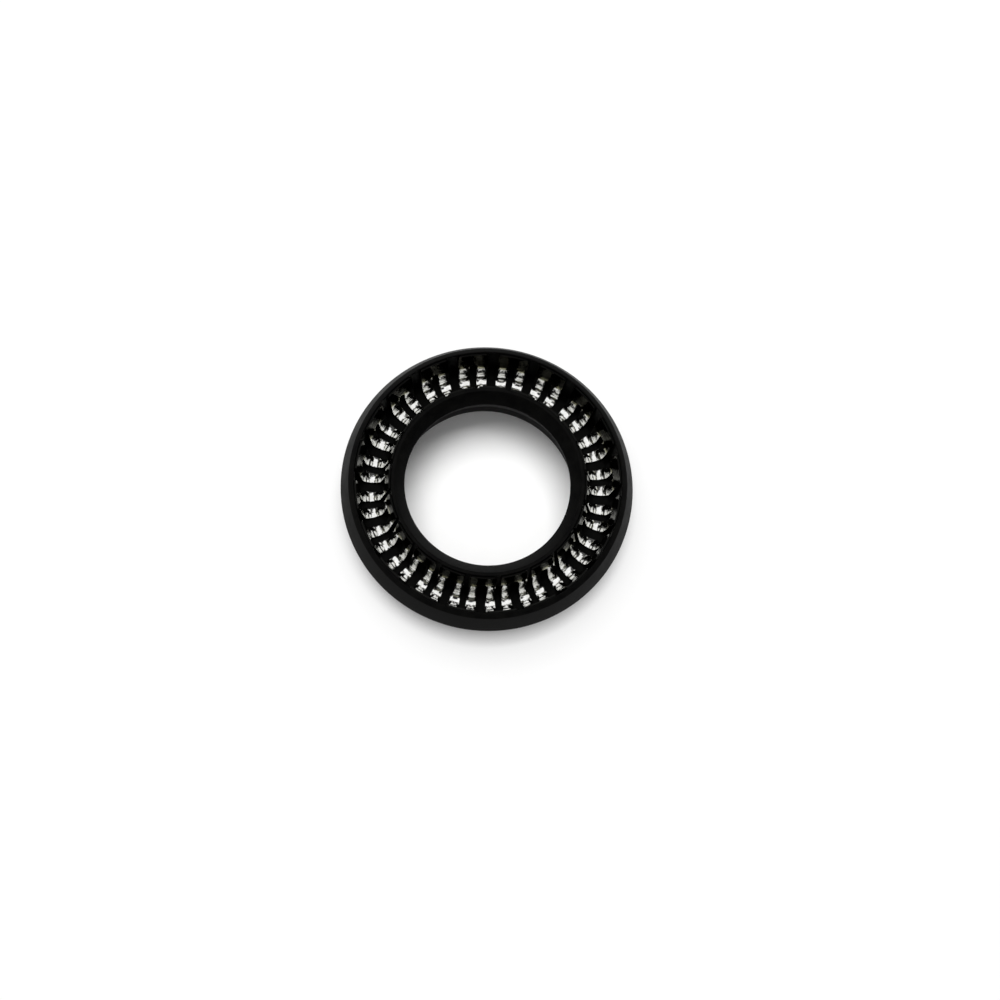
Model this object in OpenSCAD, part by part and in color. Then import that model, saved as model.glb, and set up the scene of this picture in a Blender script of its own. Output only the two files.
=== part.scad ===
// Spring-energized seal: a turned U-cup jacket with a slotted V-section finger spring in its groove.
// Millimetres. The heel stands on z = 0, the axis is +Z and the groove opens upwards.

/* [Jacket] */
// Free diameter over the outer lip's contact band
lip_od = 13.14; // [12.9:0.02:13.5]
// Free diameter inside the inner lip's contact band
lip_id = 7.44; // [7.1:0.02:7.7]
// Height from the heel to the lip tips
seal_h = 3.0; // [2.8:0.05:3.3]
// How far the outer lip flares past the heel, per side
outer_flare = 0.38; // [0.3:0.01:0.45]
// How far the inner lip flares past the heel bore, per side
inner_flare = 0.33; // [0.25:0.01:0.4]
// Heel thickness under the groove
heel_floor = 0.6; // [0.5:0.02:0.75]
// Height of the heel's straight walls
heel_wall = 0.88; // [0.7:0.02:1.1]
// Break on the heel's two corners
heel_break = 0.1; // [0.05:0.01:0.15]

/* [Lips] */
// Radial step from the outer band in to the groove mouth
outer_lip = 0.57; // [0.5:0.01:0.65]
// Radial step from the inner band out to the groove mouth
inner_lip = 0.62; // [0.54:0.01:0.7]
// Height of each contact band
band_h = 0.12; // [0.08:0.01:0.2]
// Drop from the lip tips to the outer contact band
outer_drop = 1.12; // [0.95:0.01:1.25]
// Drop from the lip tips to the inner contact band
inner_drop = 0.59; // [0.5:0.01:0.75]
// Radial width of the sloped land on the outer lip
land_w = 0.24; // [0.16:0.01:0.3]
// Drop across the sloped land on the outer lip
land_drop = 0.22; // [0.12:0.01:0.3]
// Width of the flat tip on the inner lip
tip_w = 0.15; // [0.08:0.01:0.2]

/* [Groove] */
// Draft of each groove wall, in degrees
wall_draft = 3.5; // [2:0.25:5]
// Width of the flat part of the groove floor, between its corner radii
floor_flat = 0.52; // [0.4:0.01:0.7]

/* [Spring] */
// Strip thickness
strip_t = 0.08; // [0.06:0.01:0.11]
// Gap between each side of the bend at the bottom of the V and the groove wall
bend_gap = 0.215; // [0.15:0.005:0.3]
// Gap between the spring and the groove floor
floor_gap = 0.02; // [0.01:0.01:0.04]
// Gap between each spring tip and its groove wall
tip_gap = 0.02; // [0.01:0.01:0.05]
// Drop from the lip tips to the spring tips
tip_drop = 0.12; // [0.06:0.01:0.25]
// Pairs of fingers around the ring
pairs = 20; // [18:1:22]
// Finger width at the bottom of the V
finger_w = 0.44; // [0.38:0.01:0.48]
// Width of the slots that are closed at the outer tips
slot_w = 0.31; // [0.24:0.01:0.36]
// Inner mouth of those slots as a share of their width
mouth_in = 0.65; // [0.55:0.05:0.9]
// Outer mouth of the other slots as a share of their width
mouth_out = 1.15; // [1:0.05:1.5]
// Height of the webs that join fingers at the outer tips
web_out = 1.0; // [0.7:0.05:1.25]
// Height of the webs that join fingers at the inner tips
web_in = 0.8; // [0.6:0.05:1.2]
// Corner radius of the tabs at the slot mouths
tab_r = 0.1; // [0.05:0.01:0.14]

/* [Hidden] */
$fn = 180;
over = 1;
// Derived radii and widths go to the nearest of these, so that faces that share them meet exactly.
grain = 0.0001;
heel_or = lip_od / 2 - outer_flare;
heel_ir = lip_id / 2 + inner_flare;
groove_or = lip_od / 2 - outer_lip;
groove_ir = lip_id / 2 + inner_lip;
groove_mid = (groove_or + groove_ir) / 2;
groove_half = (groove_or - groove_ir) / 2;
slope = tan(wall_draft);
floor_half = floor_flat / 2;
floor_span = groove_half - (seal_h - heel_floor) * slope - floor_half;
floor_r = grain * round(floor_span / (cos(wall_draft) - (1 - sin(wall_draft)) * slope) / grain);
wall_tz = heel_floor + floor_r * (1 - sin(wall_draft));
wall_tr = floor_half + floor_r * cos(wall_draft);
mouth_half = groove_half + over * slope;

spring_z = heel_floor + floor_gap;
spring_h = seal_h - tip_drop - spring_z;
bend_r = grain * round((groove_half - (seal_h - spring_z) * slope - bend_gap) / (1 - slope) / grain);
tip_half = groove_half - tip_drop * slope - tip_gap;
leg_run = spring_h - bend_r;
leg_lean = atan2(tip_half, leg_run) - asin(bend_r / norm([tip_half, leg_run]));
pitch = 360 / pairs;
slot_b = grain * round((2 * PI * groove_mid / pairs - 2 * finger_w - slot_w) / grain);
mouth_a = grain * round(slot_w * mouth_in / grain);
mouth_b = grain * round(slot_b * mouth_out / grain);
tab_z = spring_h - tab_r + grain;
slot_reach = groove_half + over;

// Half section of the jacket before the groove is cut.
module jacket_blank() {
    polygon([
        [heel_ir + heel_break, 0],
        [heel_or - heel_break, 0],
        [heel_or, heel_break],
        [heel_or, heel_wall],
        [lip_od / 2, seal_h - outer_drop - band_h],
        [lip_od / 2, seal_h - outer_drop],
        [groove_or + land_w, seal_h - land_drop],
        [groove_or, seal_h],
        [groove_ir, seal_h],
        [groove_ir - tip_w, seal_h],
        [lip_id / 2, seal_h - inner_drop],
        [lip_id / 2, seal_h - inner_drop - band_h],
        [heel_ir, heel_wall],
        [heel_ir, heel_break]
    ]);
}

// Groove section about its own middle: drafted walls that run into round floor corners.
module groove() {
    polygon([
        [-wall_tr, wall_tz],
        [wall_tr, wall_tz],
        [mouth_half, seal_h + over],
        [-mouth_half, seal_h + over]
    ]);
    for (side = [-1, 1])
        translate([side * floor_half, heel_floor + floor_r])
            circle(r = floor_r);
    translate([-floor_half, heel_floor])
        square([2 * floor_half, floor_r]);
}

module seal_jacket() {
    color("#0f0f0e")
        rotate_extrude()
            difference() {
                jacket_blank();
                translate([groove_mid, 0])
                    groove();
            }
}

// Solid V with a round bottom of radius r, its sides tangent to the round and its arms cut level.
module v_solid(r) {
    circle(r = r);
    polygon([
        [r * cos(leg_lean), -r * sin(leg_lean)],
        [r / cos(leg_lean) + leg_run * tan(leg_lean), leg_run],
        [-r / cos(leg_lean) - leg_run * tan(leg_lean), leg_run],
        [-r * cos(leg_lean), -r * sin(leg_lean)]
    ]);
}

// Section of the folded strip, its bottom on zero.
module v_strip() {
    translate([0, bend_r])
        difference() {
            v_solid(bend_r);
            v_solid(bend_r - strip_t);
        }
}

// Face of the closed half of a slot: straight sides and a round end under the web.
module slot_closed(w, web) {
    polygon([
        [-w / 2, -over],
        [w / 2, -over],
        [w / 2, spring_h - web - w / 2],
        [-w / 2, spring_h - web - w / 2]
    ]);
    translate([0, spring_h - web - w / 2])
        circle(d = w);
}

// Face of the open half of a slot: straight through the bend, then a taper to a mouth with round corners.
module slot_open(w, mouth) {
    polygon([
        [-w / 2, -over],
        [w / 2, -over],
        [w / 2, bend_r],
        [mouth / 2, tab_z],
        [mouth / 2, spring_h + over],
        [-mouth / 2, spring_h + over],
        [-mouth / 2, tab_z],
        [-w / 2, bend_r]
    ]);
    difference() {
        translate([-mouth / 2 - tab_r, tab_z])
            square([mouth + 2 * tab_r, tab_r + over]);
        for (side = [-1, 1])
            translate([side * (mouth / 2 + tab_r), tab_z])
                circle(r = tab_r);
    }
}

// One slot lying along +X: side +1 is closed at the outer tip, side -1 at the inner tip.
module slot(w, mouth, side) {
    translate([groove_mid + (side > 0 ? -strip_t : -slot_reach), 0, 0])
        rotate([90, 0, 90])
            linear_extrude(slot_reach + strip_t)
                slot_closed(w, side > 0 ? web_out : web_in);
    translate([groove_mid + (side > 0 ? -slot_reach : 0), 0, 0])
        rotate([90, 0, 90])
            linear_extrude(slot_reach)
                slot_open(w, mouth);
}

module finger_spring() {
    color("#c8cacc")
        translate([0, 0, spring_z])
            difference() {
                rotate_extrude()
                    translate([groove_mid, 0])
                        v_strip();
                for (k = [0 : pairs - 1]) {
                    rotate([0, 0, k * pitch])
                        slot(slot_w, mouth_a, 1);
                    rotate([0, 0, (k + 0.5) * pitch])
                        slot(slot_b, mouth_b, -1);
                }
            }
}

seal_jacket();
finger_spring();
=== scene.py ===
# Spring-energized seal lying on its heel, lips up, on a white table.
import math
import random

import bmesh
import bpy
from mathutils import Matrix, Vector


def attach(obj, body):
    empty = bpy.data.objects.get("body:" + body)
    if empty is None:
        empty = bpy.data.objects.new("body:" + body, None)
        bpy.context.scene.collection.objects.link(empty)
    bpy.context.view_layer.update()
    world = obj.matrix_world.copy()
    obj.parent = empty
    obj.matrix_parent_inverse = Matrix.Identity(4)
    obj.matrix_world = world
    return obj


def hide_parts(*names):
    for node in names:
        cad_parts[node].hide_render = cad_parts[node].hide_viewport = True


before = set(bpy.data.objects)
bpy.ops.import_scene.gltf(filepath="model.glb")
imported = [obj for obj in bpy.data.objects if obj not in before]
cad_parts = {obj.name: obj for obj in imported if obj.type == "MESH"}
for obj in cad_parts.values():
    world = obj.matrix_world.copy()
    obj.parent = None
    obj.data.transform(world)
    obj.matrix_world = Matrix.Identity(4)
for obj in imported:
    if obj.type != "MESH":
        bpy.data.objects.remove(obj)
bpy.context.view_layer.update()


# Seal jacket: the U-cup ring that does the sealing, black carbon-filled PTFE.
# It is turned in one piece from a moulded billet: heel, groove and two flared lips,
# with edges that the tool leaves just off sharp. The spring sits in it.
MM = 0.001
lip_r = 6.57
lip_bore_r = 3.72
seal_h = 3.0
outer_flare = 0.38
inner_flare = 0.33
heel_r = lip_r - outer_flare
heel_bore_r = lip_bore_r + inner_flare
heel_floor = 0.6
heel_wall = 0.88
heel_break = 0.1
band_h = 0.12
outer_drop = 1.12
inner_drop = 0.59
outer_band_top = seal_h - outer_drop
inner_band_top = seal_h - inner_drop
land_w = 0.24
land_drop = 0.22
tip_w = 0.15
outer_lip = 0.57
inner_lip = 0.62
groove_or = lip_r - outer_lip
groove_ir = lip_bore_r + inner_lip
groove_mid = (groove_or + groove_ir) / 2
groove_half = (groove_or - groove_ir) / 2
wall_draft = math.radians(3.5)
wall_slope = math.tan(wall_draft)
floor_half = groove_half - (seal_h - heel_floor) * wall_slope
floor_r = 0.45
heel_edge_r = 0.04
flare_r = 0.15
lip_edge_r = 0.03
land_edge_r = 0.05
inner_mouth_r = 0.025
jacket_segments = 300

# Corners of the half section as radius, height and edge radius, from the heel round the outside.
jacket_corners = [
    (heel_bore_r + heel_break, 0, heel_edge_r),
    (heel_r - heel_break, 0, heel_edge_r),
    (heel_r, heel_break, heel_edge_r),
    (heel_r, heel_wall, flare_r),
    (lip_r, outer_band_top - band_h, lip_edge_r),
    (lip_r, outer_band_top, lip_edge_r),
    (groove_or + land_w, seal_h - land_drop, land_edge_r),
    (groove_or, seal_h, lip_edge_r),
    (groove_mid + floor_half, heel_floor, floor_r),
    (groove_mid - floor_half, heel_floor, floor_r),
    (groove_ir, seal_h, inner_mouth_r),
    (groove_ir - tip_w, seal_h, lip_edge_r),
    (lip_bore_r, inner_band_top, lip_edge_r),
    (lip_bore_r, inner_band_top - band_h, lip_edge_r),
    (heel_bore_r, heel_wall, flare_r),
    (heel_bore_r, heel_break, heel_edge_r),
]


def rounded_section(corners, fewest=6, fine_r=0.1, shallow=0.2, shallow_steps=2):
    """Closed outline with an arc at each corner: more steps above fine_r, few on a shallow bend."""
    outline = []
    for i, (r, z, edge) in enumerate(corners):
        here = Vector((r, z))
        back = (Vector(corners[i - 1][:2]) - here).normalized()
        ahead = (Vector(corners[(i + 1) % len(corners)][:2]) - here).normalized()
        half = back.angle(ahead) / 2
        centre = here + (back + ahead).normalized() * (edge / math.sin(half))
        start = here + back * (edge / math.tan(half)) - centre
        sweep = math.pi - 2 * half
        turn = 1 if start.x * (here - centre).y - start.y * (here - centre).x > 0 else -1
        n = max(fewest, round(fewest * edge / fine_r)) if sweep > shallow else shallow_steps
        for k in range(n + 1):
            a = turn * sweep * k / n
            outline.append((centre.x + start.x * math.cos(a) - start.y * math.sin(a),
                            centre.y + start.x * math.sin(a) + start.y * math.cos(a)))
    return outline


def turned_ring(name, outline, segments):
    """Ring of revolution about Z. UV is millimetres round the ring and along the section."""
    mesh = bpy.data.meshes.new(name)
    bm = bmesh.new()
    uv = bm.loops.layers.uv.new("turned")
    along = [0.0]
    for a, b in zip(outline, outline[1:] + outline[:1]):
        along.append(along[-1] + math.dist(a, b))
    rings = []
    for k in range(segments):
        c, s = math.cos(2 * math.pi * k / segments), math.sin(2 * math.pi * k / segments)
        rings.append([bm.verts.new((r * c * MM, r * s * MM, z * MM)) for r, z in outline])
    n = len(outline)
    arc = 2 * math.pi * groove_mid / segments
    for k in range(segments):
        this, following = rings[k], rings[(k + 1) % segments]
        for i in range(n):
            j = (i + 1) % n
            face = bm.faces.new((this[i], following[i], following[j], this[j]))
            face.smooth = True
            for loop, (step, point) in zip(face.loops, ((k, i), (k + 1, i), (k + 1, i + 1), (k, i + 1))):
                loop[uv].uv = (step * arc, along[point])
    bmesh.ops.recalc_face_normals(bm, faces=bm.faces)
    bm.to_mesh(mesh)
    bm.free()
    ring = bpy.data.objects.new(name, mesh)
    bpy.context.scene.collection.objects.link(ring)
    # Broad faces keep their own normals and the edge arcs take the turn.
    ring.modifiers.new("flat lands", "WEIGHTED_NORMAL").keep_sharp = True
    return ring


def linear(hex_colour):
    """sRGB hex to the linear RGBA that shader sockets take."""
    parts = [int(hex_colour[i:i + 2], 16) / 255 for i in (1, 3, 5)]
    return tuple(p / 12.92 if p <= 0.04045 else ((p + 0.055) / 1.055) ** 2.4 for p in parts) + (1.0,)


def add_node(tree, kind, settings=(), links=()):
    """New node with its properties or input values set and its inputs linked."""
    new = tree.nodes.new(kind)
    for key, value in dict(settings).items():
        if isinstance(key, int) or key in new.inputs:
            new.inputs[key].default_value = value
        else:
            setattr(new, key, value)
    for key, source in dict(links).items():
        tree.links.new(source, new.inputs[key])
    return new


def new_material(name):
    """New node material, with its node tree and the shader that its finish is set on."""
    material = bpy.data.materials.new(name)
    material.use_nodes = True
    tree = material.node_tree
    return material, tree, tree.nodes["Principled BSDF"]


# Carbon-filled PTFE as turned: waxy, almost black, with a soft low sheen because PTFE's index is low.
# The filler shows as faint grey clouding and the tool as fine rings that follow the section.
ptfe, tree, skin = new_material("carbon_filled_ptfe_turned")
skin.inputs["IOR"].default_value = 1.36
skin.inputs["Specular IOR Level"].default_value = 0.055
turned_uv = add_node(tree, "ShaderNodeUVMap", {"uv_map": "turned"})
solid_place = add_node(tree, "ShaderNodeTexCoord")
cloud_mm = 0.55
clouds = add_node(tree, "ShaderNodeTexNoise",
                  {"Scale": 1 / (cloud_mm * MM), "Detail": 5.0, "Roughness": 0.62},
                  {"Vector": solid_place.outputs["Object"]})
tone = add_node(tree, "ShaderNodeValToRGB", links={"Fac": clouds.outputs["Fac"]})
tone.color_ramp.elements[0].position = 0.36
tone.color_ramp.elements[0].color = linear("#060606")
tone.color_ramp.elements[1].position = 0.72
tone.color_ramp.elements[1].color = linear("#0d0d0c")
tree.links.new(tone.outputs["Color"], skin.inputs["Base Color"])
gloss = add_node(tree, "ShaderNodeMapRange",
                 {"From Min": 0.3, "From Max": 0.7, "To Min": 0.38, "To Max": 0.5},
                 {"Value": clouds.outputs["Fac"]})
tree.links.new(gloss.outputs["Result"], skin.inputs["Roughness"])
# The feed of the tool is about 0.04 mm; it is drawn at 0.09 mm so that it shows.
feed_mm = 0.09
feed_depth_mm = 0.006
feed_run_mm = 50
feed_place = add_node(tree, "ShaderNodeMapping", {"Scale": (1 / feed_run_mm, 1 / feed_mm, 1)},
                      {"Vector": turned_uv.outputs["UV"]})
feed = add_node(tree, "ShaderNodeTexNoise", {"Scale": 1.0, "Detail": 2.0},
                {"Vector": feed_place.outputs["Vector"]})
feed_bump = add_node(tree, "ShaderNodeBump", {"Strength": 0.25, "Distance": feed_depth_mm * MM},
                     {"Height": feed.outputs["Fac"]})
tree.links.new(feed_bump.outputs["Normal"], skin.inputs["Normal"])

jacket = turned_ring("seal_jacket_turned", rounded_section(jacket_corners), jacket_segments)
jacket.data.materials.append(ptfe)
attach(jacket, "root")
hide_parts("seal_jacket")


# Finger spring: one stainless strip slotted from both edges into a serpentine of fingers,
# folded to a round-bottomed V and rolled into a ring. It only rests in the jacket's groove
# and pushes the two lips apart.
strip_t = 0.08
bend_r = 0.5
floor_gap = 0.02
tip_gap = 0.02
tip_drop = 0.12
spring_z = heel_floor + floor_gap
spring_h = seal_h - tip_drop - spring_z
tip_half = groove_half - tip_drop * wall_slope - tip_gap
leg_run = spring_h - bend_r
leg_lean = math.atan2(tip_half, leg_run) - math.asin(bend_r / math.hypot(tip_half, leg_run))
pairs = 20
pitch = 2 * math.pi / pairs
finger_w = 0.44
slot_out = 0.31
slot_in = 2 * math.pi * groove_mid / pairs - 2 * finger_w - slot_out
mouth_in = 0.65 * slot_out
mouth_out = 1.15 * slot_in
web_out = 1.0
web_in = 0.8
tab_r = 0.1
fold_r = bend_r - strip_t
# The punch leaves the fold a little flat at its bottom and tighter at its two sides.
flat_r = 0.56
flat_turn = math.radians(12)
side_reach = (flat_r - fold_r) * (1 - math.sin(leg_lean)) / (1 - math.sin(flat_turn + leg_lean))
side_r = flat_r - side_reach
side_x = side_reach * math.sin(flat_turn)
side_z = strip_t + flat_r - side_reach * math.cos(flat_turn)
flat_half = flat_r * flat_turn
leg_turn = math.pi / 2 - leg_lean
fold_half = flat_half + side_r * (leg_turn - flat_turn)
leg_foot = side_z - side_r * math.sin(leg_lean)
# Bending crowns a finger across its width: at the fold's bottom, hardly at its sides, most under the web.
crown_r = 3.0
crown_reach = 0.3
crown_fade = 0.15
side_crown_r = 12.0
top_crown_r = 0.8
web_blend = 0.3
web_blend_below = 0.2
edge_roll = 0.006
tumbled_w = 0.014
# The fold leaves each finger a little turned and lifted; the legs settle back against the lips.
most_tilt = 0.04
most_lift = 0.012
settle_run = 1.6 * fold_half
# Painted shade: the webs and the tops of the fingers are darkened in colour, standing in for the dark
# reflections of the lips and room they show; it reaches a little further down on some fingers than on others.
shade_below_out = 0.32
shade_below_in = 0.14
shade_fade = 0.35
most_shade_shift = 0.1


def share(part):
    """A share held between none and all."""
    return min(max(part, 0), 1)


def leg_rows(web, slot, leg_steps=5, end_steps=8, web_steps=6, tab_steps=5):
    """Heights above the spring's bottom along one leg, close together at the slot's end and the tip."""
    end = spring_h - web
    centre = end - slot / 2
    tab = spring_h - tab_r
    rows = [leg_foot + (centre - leg_foot) * k / leg_steps for k in range(1, leg_steps + 1)]
    rows += [centre + slot / 2 * math.sin(math.pi / 2 * k / end_steps) for k in range(1, end_steps + 1)]
    rows += [end + (tab - end) * k / web_steps for k in range(1, web_steps + 1)]
    rows += [tab + tab_r * math.sin(math.pi / 2 * k / tab_steps) for k in range(1, tab_steps + 1)]
    return rows


def fold_place(run):
    """Offset, height and slope of the strip's upper face, run along the section from its bottom."""
    if run <= flat_half:
        a = run / flat_r
        return flat_r * math.sin(a), strip_t + flat_r - flat_r * math.cos(a), a
    if run <= fold_half:
        a = flat_turn + (run - flat_half) / side_r
        return side_x + side_r * math.sin(a), side_z - side_r * math.cos(a), a
    up = (run - fold_half) * math.cos(leg_lean)
    return side_x + side_r * math.cos(leg_lean) + up * math.tan(leg_lean), leg_foot + up, leg_turn


def closed_edge(height, slot, web):
    """Half width of a slot on the leg where a web closes it."""
    rise = height - (spring_h - web - slot / 2)
    if rise <= 0:
        return slot / 2
    return math.sqrt(max((slot / 2) ** 2 - rise ** 2, 0))


def open_edge(height, slot, mouth):
    """Half width of a slot on the leg where it runs out between two tabs."""
    rise = max(height - bend_r, 0) / (spring_h - tab_r - bend_r)
    corner = max(height - (spring_h - tab_r), 0)
    taper = (mouth - slot) / 2 * min(rise, 1)
    return slot / 2 + taper + tab_r - math.sqrt(max(tab_r ** 2 - corner ** 2, 0))


def finger_edges(leg, height, radius):
    """Angles of a finger's two edges, from the middle of the slot beside it that is closed outside."""
    if leg > 0:
        low = closed_edge(height, slot_out, web_out)
        high = open_edge(height, slot_in, mouth_out)
    else:
        low = open_edge(height, slot_out, mouth_in)
        high = closed_edge(height, slot_in, web_in)
    return math.asin(low / radius), pitch / 2 - math.asin(high / radius)


def finger_crown(run, height, web_foot):
    """How far a finger's middle stands over its edges, and how much of its rolled edge the web leaves."""
    into_web = share((height - web_foot + web_blend_below) / web_blend)
    left = 1 - into_web * into_web * (3 - 2 * into_web)
    climb = share((height - leg_foot) / (web_foot - leg_foot)) ** 2
    bottom = share((crown_reach - run) / crown_fade)
    fold_crown = bottom / crown_r + (1 - bottom) / side_crown_r
    return finger_w ** 2 / 8 * ((1 - climb) * fold_crown + climb / top_crown_r) * left, left


def folded_strip(name):
    """Upper face of the whole spring as a grid: one run of quads across each finger and half of its webs."""
    fold_steps = 16
    across = 10
    fold_runs = [fold_half * k / fold_steps for k in range(fold_steps + 1)]
    outer = [fold_half + (h - leg_foot) / math.cos(leg_lean) for h in leg_rows(web_out, slot_out)]
    inner = [fold_half + (h - leg_foot) / math.cos(leg_lean) for h in leg_rows(web_in, slot_in)]
    rows = [(-1, run) for run in reversed(fold_runs[1:] + inner)] + [(1, run) for run in fold_runs + outer]
    hand = random.Random(11)
    bm = bmesh.new()
    uv = bm.loops.layers.uv.new("strip")
    painted_shade = bm.verts.layers.float.new("painted_shade")
    for finger in range(2 * pairs):
        side = 1 if finger % 2 else -1
        slot_angle = (finger + 1) // 2 * pitch
        tilt = hand.uniform(-most_tilt, most_tilt)
        lift = hand.uniform(0.0, most_lift)
        shade_shift = hand.uniform(-most_shade_shift, most_shade_shift)
        grid = []
        for leg, run in rows:
            offset, height, slope = fold_place(run)
            radius = groove_mid + leg * offset
            low, high = finger_edges(leg, height, radius)
            web_foot = spring_h - (web_out if leg > 0 else web_in)
            crown, left = finger_crown(run, height, web_foot)
            ease = math.cos(math.pi / 2 * min(run / settle_run, 1)) ** 2
            shade_below = (shade_below_out if leg > 0 else shade_below_in) + shade_shift
            line = []
            for c in range(across + 1):
                # From one edge at -1 to the other at 1, closer together toward both.
                beside = math.sin(math.pi / 2 * (2 * c / across - 1))
                angle = slot_angle + side * (low + (high - low) * (beside + 1) / 2)
                drift = (angle - slot_angle) * radius - side * pitch / 4 * radius
                swell = crown * (1 - beside ** 2) + edge_roll * left * (1 - beside ** 4)
                r = radius - leg * swell * math.sin(slope)
                z = height + ease * (lift + tilt * drift) + swell * math.cos(slope)
                vert = bm.verts.new((r * math.cos(angle) * MM, r * math.sin(angle) * MM, (spring_z + z) * MM))
                # Painted shade: it grows from none to full over a short rise up to each web and the finger
                # tips.
                vert[painted_shade] = share((height - web_foot + shade_below) / shade_fade)
                line.append((vert, (angle * groove_mid, leg * run)))
            grid.append(line)
        for a, b in zip(grid, grid[1:]):
            for c in range(across):
                corners = (a[c], a[c + 1], b[c + 1], b[c])
                face = bm.faces.new([vert for vert, _ in corners])
                face.smooth = True
                face.normal_update()
                for loop, (_, strip_place) in zip(face.loops, corners):
                    loop[uv].uv = strip_place
    bmesh.ops.remove_doubles(bm, verts=bm.verts, dist=1e-8)
    bmesh.ops.recalc_face_normals(bm, faces=bm.faces)
    if sum(f.normal.z * f.calc_area() for f in bm.faces) < 0:
        bmesh.ops.reverse_faces(bm, faces=bm.faces)
    mesh = bpy.data.meshes.new(name)
    bm.to_mesh(mesh)
    bm.free()
    strip = bpy.data.objects.new(name, mesh)
    bpy.context.scene.collection.objects.link(strip)
    gauge = strip.modifiers.new("strip gauge", "SOLIDIFY")
    gauge.thickness = strip_t * MM
    gauge.offset = -1
    gauge.use_even_offset = True
    gauge.material_offset_rim = 1
    rub = strip.modifiers.new("tumbled edges", "BEVEL")
    rub.width = tumbled_w * MM
    rub.segments = 2
    rub.limit_method = "ANGLE"
    rub.angle_limit = math.radians(40)
    rub.harden_normals = True
    return strip


# Bright rolled stainless strip: close to a mirror, with faint uneven patches.
# Folding leaves it slightly wavy along the section, which breaks its reflections into cross streaks.
steel, tree, strip_face = new_material("stainless_strip_bright_rolled")
strip_face.inputs["Metallic"].default_value = 1.0
strip_uv = add_node(tree, "ShaderNodeUVMap", {"uv_map": "strip"})
wave_along_mm = 0.2
wave_round_mm = 0.3
wave_depth_mm = 0.014
wave_place = add_node(tree, "ShaderNodeMapping", {"Scale": (1 / wave_round_mm, 1 / wave_along_mm, 1)},
                      {"Vector": strip_uv.outputs["UV"]})
waves = add_node(tree, "ShaderNodeTexNoise", {"Scale": 1.0, "Detail": 2.5, "Roughness": 0.55},
                 {"Vector": wave_place.outputs["Vector"]})
wave_bump = add_node(tree, "ShaderNodeBump", {"Strength": 1.0, "Distance": wave_depth_mm * MM},
                     {"Height": waves.outputs["Fac"]})
tree.links.new(wave_bump.outputs["Normal"], strip_face.inputs["Normal"])
patch_mm = 0.3
patches = add_node(tree, "ShaderNodeTexNoise", {"Scale": 1 / patch_mm, "Detail": 4.0},
                   {"Vector": strip_uv.outputs["UV"]})
strip_tone = add_node(tree, "ShaderNodeValToRGB", links={"Fac": patches.outputs["Fac"]})
strip_tone.color_ramp.elements[0].position = 0.35
strip_tone.color_ramp.elements[0].color = linear("#e6e6e3")
strip_tone.color_ramp.elements[1].position = 0.65
strip_tone.color_ramp.elements[1].color = linear("#f8f8f7")
# Painted shade: the strip's colour runs from bright steel through olive grey to near black where the shade is
# painted.
shade_amount = add_node(tree, "ShaderNodeAttribute", {"attribute_name": "painted_shade"})
shade_tone = add_node(tree, "ShaderNodeValToRGB", links={"Fac": shade_amount.outputs["Fac"]})
shade_tone.color_ramp.elements[0].color = linear("#ffffff")
shade_tone.color_ramp.elements[1].color = linear("#1a1913")
shade_tone.color_ramp.elements.new(0.5).color = linear("#a3a182")
shaded_colour = add_node(tree, "ShaderNodeMix", {"data_type": "RGBA", "blend_type": "MULTIPLY", 0: 1.0},
                  {6: strip_tone.outputs["Color"], 7: shade_tone.outputs["Color"]})
tree.links.new(shaded_colour.outputs[2], strip_face.inputs["Base Color"])
# Where the shade is painted, the mirror shine is also dimmed at low angles.
dulled = add_node(tree, "ShaderNodeMix", {"data_type": "RGBA", 6: linear("#ffffff"), 7: linear("#d0d0ce")},
                  {0: shade_amount.outputs["Fac"]})
tree.links.new(dulled.outputs[2], strip_face.inputs["Specular Tint"])
strip_gloss = add_node(tree, "ShaderNodeMapRange", {"To Min": 0.05, "To Max": 0.09},
                       {"Value": patches.outputs["Fac"]})
tree.links.new(strip_gloss.outputs["Result"], strip_face.inputs["Roughness"])

# The sheared edges of the strip are rough and dull beside its rolled faces; their near-black colour is
# painted shade for the dark reflection along the strip's edges.
sheared, tree, cut_face = new_material("stainless_strip_sheared_edge")
cut_face.inputs["Metallic"].default_value = 1.0
cut_face.inputs["Roughness"].default_value = 0.5
cut_face.inputs["Base Color"].default_value = linear("#222221")

spring = folded_strip("finger_spring_strip")
spring.data.materials.append(steel)
spring.data.materials.append(sheared)
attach(spring, "root")
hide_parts("finger_spring")


# Table: plain white matt laminate that the seal lies on.
# It is stage, not part of the seal, and nothing is fixed to it.
# Pressed from resin and paper, it shows an even white with hardly any sheen.
laminate, tree, table_top = new_material("white_matt_laminate")
table_top.inputs["Roughness"].default_value = 0.75
table_top.inputs["Specular IOR Level"].default_value = 0.2
fibre_mm = 0.8
table_place = add_node(tree, "ShaderNodeTexCoord")
fibre = add_node(tree, "ShaderNodeTexNoise", {"Scale": 1 / (fibre_mm * MM), "Detail": 3.0},
                 {"Vector": table_place.outputs["Object"]})
table_tone = add_node(tree, "ShaderNodeValToRGB", links={"Fac": fibre.outputs["Fac"]})
table_tone.color_ramp.elements[0].color = linear("#fafaf9")
table_tone.color_ramp.elements[1].color = linear("#fdfdfd")
tree.links.new(table_tone.outputs["Color"], table_top.inputs["Base Color"])
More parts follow.
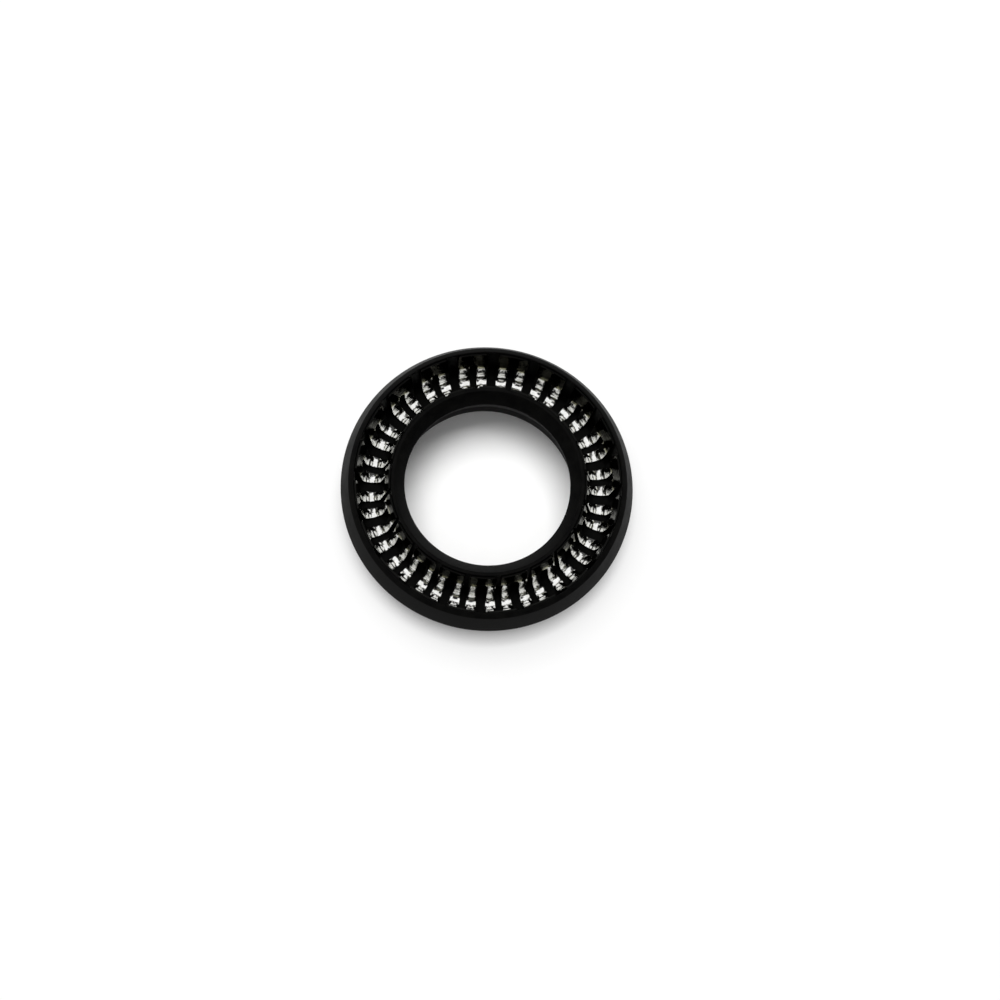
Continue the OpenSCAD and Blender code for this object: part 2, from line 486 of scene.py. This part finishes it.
# Painted glow: the table glows white for camera and mirror rays, from none 6 mm from the axis to most at 7
# mm, so the open table burns out to white and only shade close to the seal is left.
shade_r = 6.0
glow_full_r = 7.0
out_from_axis = add_node(tree, "ShaderNodeVectorMath", {"operation": "LENGTH"},
                         {0: table_place.outputs["Object"]})
glow_share = add_node(tree, "ShaderNodeMapRange",
                {"From Min": shade_r * MM, "From Max": glow_full_r * MM, "To Max": 0.75},
                {"Value": out_from_axis.outputs["Value"]})
ray = add_node(tree, "ShaderNodeLightPath")
mirrored = add_node(tree, "ShaderNodeMath", {"operation": "MAXIMUM"},
                    {0: ray.outputs["Is Glossy Ray"], 1: ray.outputs["Is Transmission Ray"]})
watched = add_node(tree, "ShaderNodeMath", {"operation": "MAXIMUM"},
                   {0: ray.outputs["Is Camera Ray"], 1: mirrored.outputs["Value"]})
glow_seen = add_node(tree, "ShaderNodeMath", {"operation": "MULTIPLY"},
                     {0: glow_share.outputs["Result"], 1: watched.outputs["Value"]})
# Painted glow that lifts the seal's shadow off the open table.
glow = add_node(tree, "ShaderNodeEmission")
glow_mixed = add_node(tree, "ShaderNodeMixShader",
                   links={0: glow_seen.outputs["Value"],
                          1: table_top.outputs["BSDF"],
                          2: glow.outputs["Emission"]})
tree.links.new(glow_mixed.outputs["Shader"], tree.nodes["Material Output"].inputs["Surface"])
table_half = 0.6
table_corners = [(x * table_half, y * table_half, 0) for x, y in ((-1, -1), (1, -1), (1, 1), (-1, 1))]
table_mesh = bpy.data.meshes.new("table")
table_mesh.from_pydata(table_corners, [], [(0, 1, 2, 3)])
table = bpy.data.objects.new("table", table_mesh)
bpy.context.scene.collection.objects.link(table)
table.data.materials.append(laminate)


# Camera: a long lens almost overhead, on the side where the outer shadow falls.
# Its place comes from fitting the lip, groove and heel circles to the picture.
view_height = math.radians(75.173)
view_round = math.radians(270.82)
view_roll = math.radians(11.177)
view_reach = 144.4 * MM
target = Vector((0, 0, seal_h * MM))
away = Vector((-math.cos(view_round), -math.sin(view_round), 0))
level = Vector((away.y, -away.x, 0))
sight = away * math.cos(view_height) - Vector((0, 0, math.sin(view_height)))
rise = away * math.sin(view_height) + Vector((0, 0, math.cos(view_height)))
right = level * math.cos(view_roll) + rise * math.sin(view_roll)
top = rise * math.cos(view_roll) - level * math.sin(view_roll)
lens = bpy.data.cameras.new("camera")
lens.lens = 116.6
lens.shift_x = 0.01178
lens.shift_y = -0.01892
lens.clip_start = 0.005
camera = bpy.data.objects.new("camera", lens)
facing = Matrix((right, top, -sight)).transposed().to_4x4()
camera.matrix_world = Matrix.Translation(target - sight * view_reach) @ facing
bpy.context.scene.collection.objects.link(camera)
bpy.context.scene.camera = camera


# Light: one soft box beyond the seal and above it, and a room that fills from all round.
# In the room a broad white lamp hangs overhead and leans toward the camera.
# The walls below it are grey, and pale again toward the floor.
soft_box = bpy.data.lights.new("soft_box", "AREA")
soft_box.shape = "RECTANGLE"
soft_box.size = 0.26
soft_box.size_y = 0.2
soft_box.energy = 1.0
box_beyond = 0.11
box_left = 0.05
box_up = 0.27
box_place = away * box_beyond - level * box_left + Vector((0, 0, box_up))
soft_box_stand = bpy.data.objects.new("soft_box", soft_box)
soft_box_stand.location = box_place
# Reflections show the lamp of the room in place of the box.
soft_box_stand.visible_glossy = False
soft_box_stand.rotation_euler = (-box_place).to_track_quat("-Z", "Y").to_euler()
bpy.context.scene.collection.objects.link(soft_box_stand)

room = bpy.data.worlds.new("pale_room")
bpy.context.scene.world = room
room.use_nodes = True
tree = room.node_tree
surround = tree.nodes["Background"]
direction = add_node(tree, "ShaderNodeTexCoord")
near_lean = math.radians(20)
left_lean = math.radians(5)
lamp_middle = (Vector((0, 0, 1)) - away * math.tan(near_lean) - level * math.tan(left_lean)).normalized()
toward_lamp = add_node(tree, "ShaderNodeVectorMath", {"operation": "DOT_PRODUCT", 1: tuple(lamp_middle)},
                       {0: direction.outputs["Generated"]})
# The lamp is wider than it is deep, so its white reaches further to both sides.
lamp_stretch = 0.44
sideways = add_node(tree, "ShaderNodeVectorMath", {"operation": "DOT_PRODUCT", 1: tuple(level)},
                    {0: direction.outputs["Generated"]})
sideways_square = add_node(tree, "ShaderNodeMath", {"operation": "MULTIPLY"},
                           {0: sideways.outputs["Value"], 1: sideways.outputs["Value"]})
widened = add_node(tree, "ShaderNodeMath", {"operation": "MULTIPLY_ADD", 1: lamp_stretch},
                   {0: sideways_square.outputs["Value"], 2: toward_lamp.outputs["Value"]})
lamp_edge = math.radians(38.5)
wall_top = math.radians(43)
wall_foot = math.radians(65)
dome = add_node(tree, "ShaderNodeValToRGB", links={"Fac": widened.outputs["Value"]})
dome.color_ramp.elements[0].position = math.cos(wall_top)
dome.color_ramp.elements[0].color = linear("#4c4c4c")
dome.color_ramp.elements[1].position = math.cos(lamp_edge)
dome.color_ramp.elements[1].color = linear("#ffffff")
dome.color_ramp.elements.new(math.cos(wall_foot)).color = linear("#4c4c4c")
dome.color_ramp.elements.new(0.0).color = linear("#b0b0b0")
# The camera itself blocks a small round of the lamp, which the bright strip shows as dark cross streaks.
toward_camera = add_node(tree, "ShaderNodeVectorMath", {"operation": "DOT_PRODUCT", 1: tuple(-sight)},
                         {0: direction.outputs["Generated"]})
lens_outer_cos = 0.985
lens_inner_cos = 0.99
lens_round = add_node(tree, "ShaderNodeMapRange", {"From Min": lens_outer_cos, "From Max": lens_inner_cos},
                      {"Value": toward_camera.outputs["Value"]})
sky = add_node(tree, "ShaderNodeMix", {"data_type": "RGBA", 7: linear("#101010")},
               {0: lens_round.outputs["Result"], 6: dome.outputs["Color"]})
path = add_node(tree, "ShaderNodeLightPath")
seen = add_node(tree, "ShaderNodeMix", {"data_type": "RGBA", 7: linear("#ffffff")},
                {0: path.outputs["Is Camera Ray"], 6: sky.outputs[2]})
tree.links.new(seen.outputs[2], surround.inputs["Color"])
mirrored = add_node(tree, "ShaderNodeMath", {"operation": "MAXIMUM"},
                    {0: path.outputs["Is Glossy Ray"], 1: path.outputs["Is Transmission Ray"]})
shown = add_node(tree, "ShaderNodeMath", {"operation": "MAXIMUM"},
                 {0: path.outputs["Is Camera Ray"], 1: mirrored.outputs["Value"]})
strength = add_node(tree, "ShaderNodeMapRange", {"To Min": 0.5, "To Max": 1.0},
                    {"Value": shown.outputs["Value"]})
tree.links.new(strength.outputs["Result"], surround.inputs["Strength"])

bpy.context.scene.view_settings.view_transform = "Standard"
